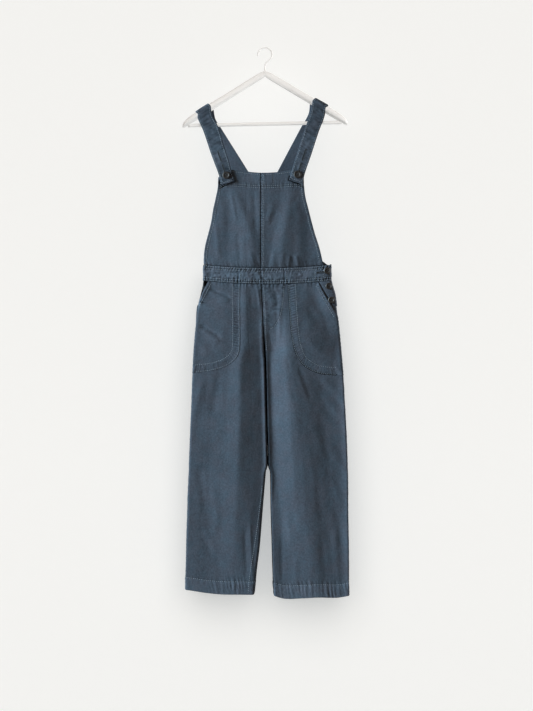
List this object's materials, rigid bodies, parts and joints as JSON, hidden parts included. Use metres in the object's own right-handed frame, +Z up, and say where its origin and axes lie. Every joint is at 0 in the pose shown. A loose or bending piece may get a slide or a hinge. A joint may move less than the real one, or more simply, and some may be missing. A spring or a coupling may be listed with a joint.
{
  "type": "bib-and-brace jumpsuit on a coat hanger",
  "caption": "Washed twill bib-and-brace jumpsuit with wide cropped legs, scoop patch pockets and a buttoned side, hung by its straps on a white wooden hanger.",
  "frame": {"origin": "inside top of the hanger's hook, where a rail carries it", "axes": "+Z up, +X to the viewer's right of the garment's front, the garment's front faces -Y"},
  "size_m": [0.452, 0.1037, 1.4903],
  "materials": {
    "twill": "washed slate-blue cotton twill, matt",
    "button": "dark brown-black four-hole button, soft sheen",
    "white_wood": "smooth white paint on wood",
    "white_wire": "white coated steel wire"
  },
  "bodies": {
    "root": {"front_leg_left": "twill", "front_leg_right": "twill", "back_leg_left": "twill", "back_leg_right": "twill", "pocket_left": "twill", "pocket_right": "twill", "side_placket": "twill", "waistband_front_side_left": "twill", "waistband_front_mid_left": "twill", "waistband_front_mid_right": "twill", "waistband_front_side_right": "twill", "waistband_back": "twill", "bib_front_left": "twill", "bib_front_right": "twill", "back_piece": "twill", "strap_left": "twill", "strap_right": "twill", "button_strap_left": "button", "button_strap_right": "button", "button_side_upper": "button", "button_side_middle": "button", "button_side_lower": "button", "hanger_body": "white_wood", "hanger_bar": "white_wood", "hanger_hook": "white_wire"}
  },
  "joints": []
}
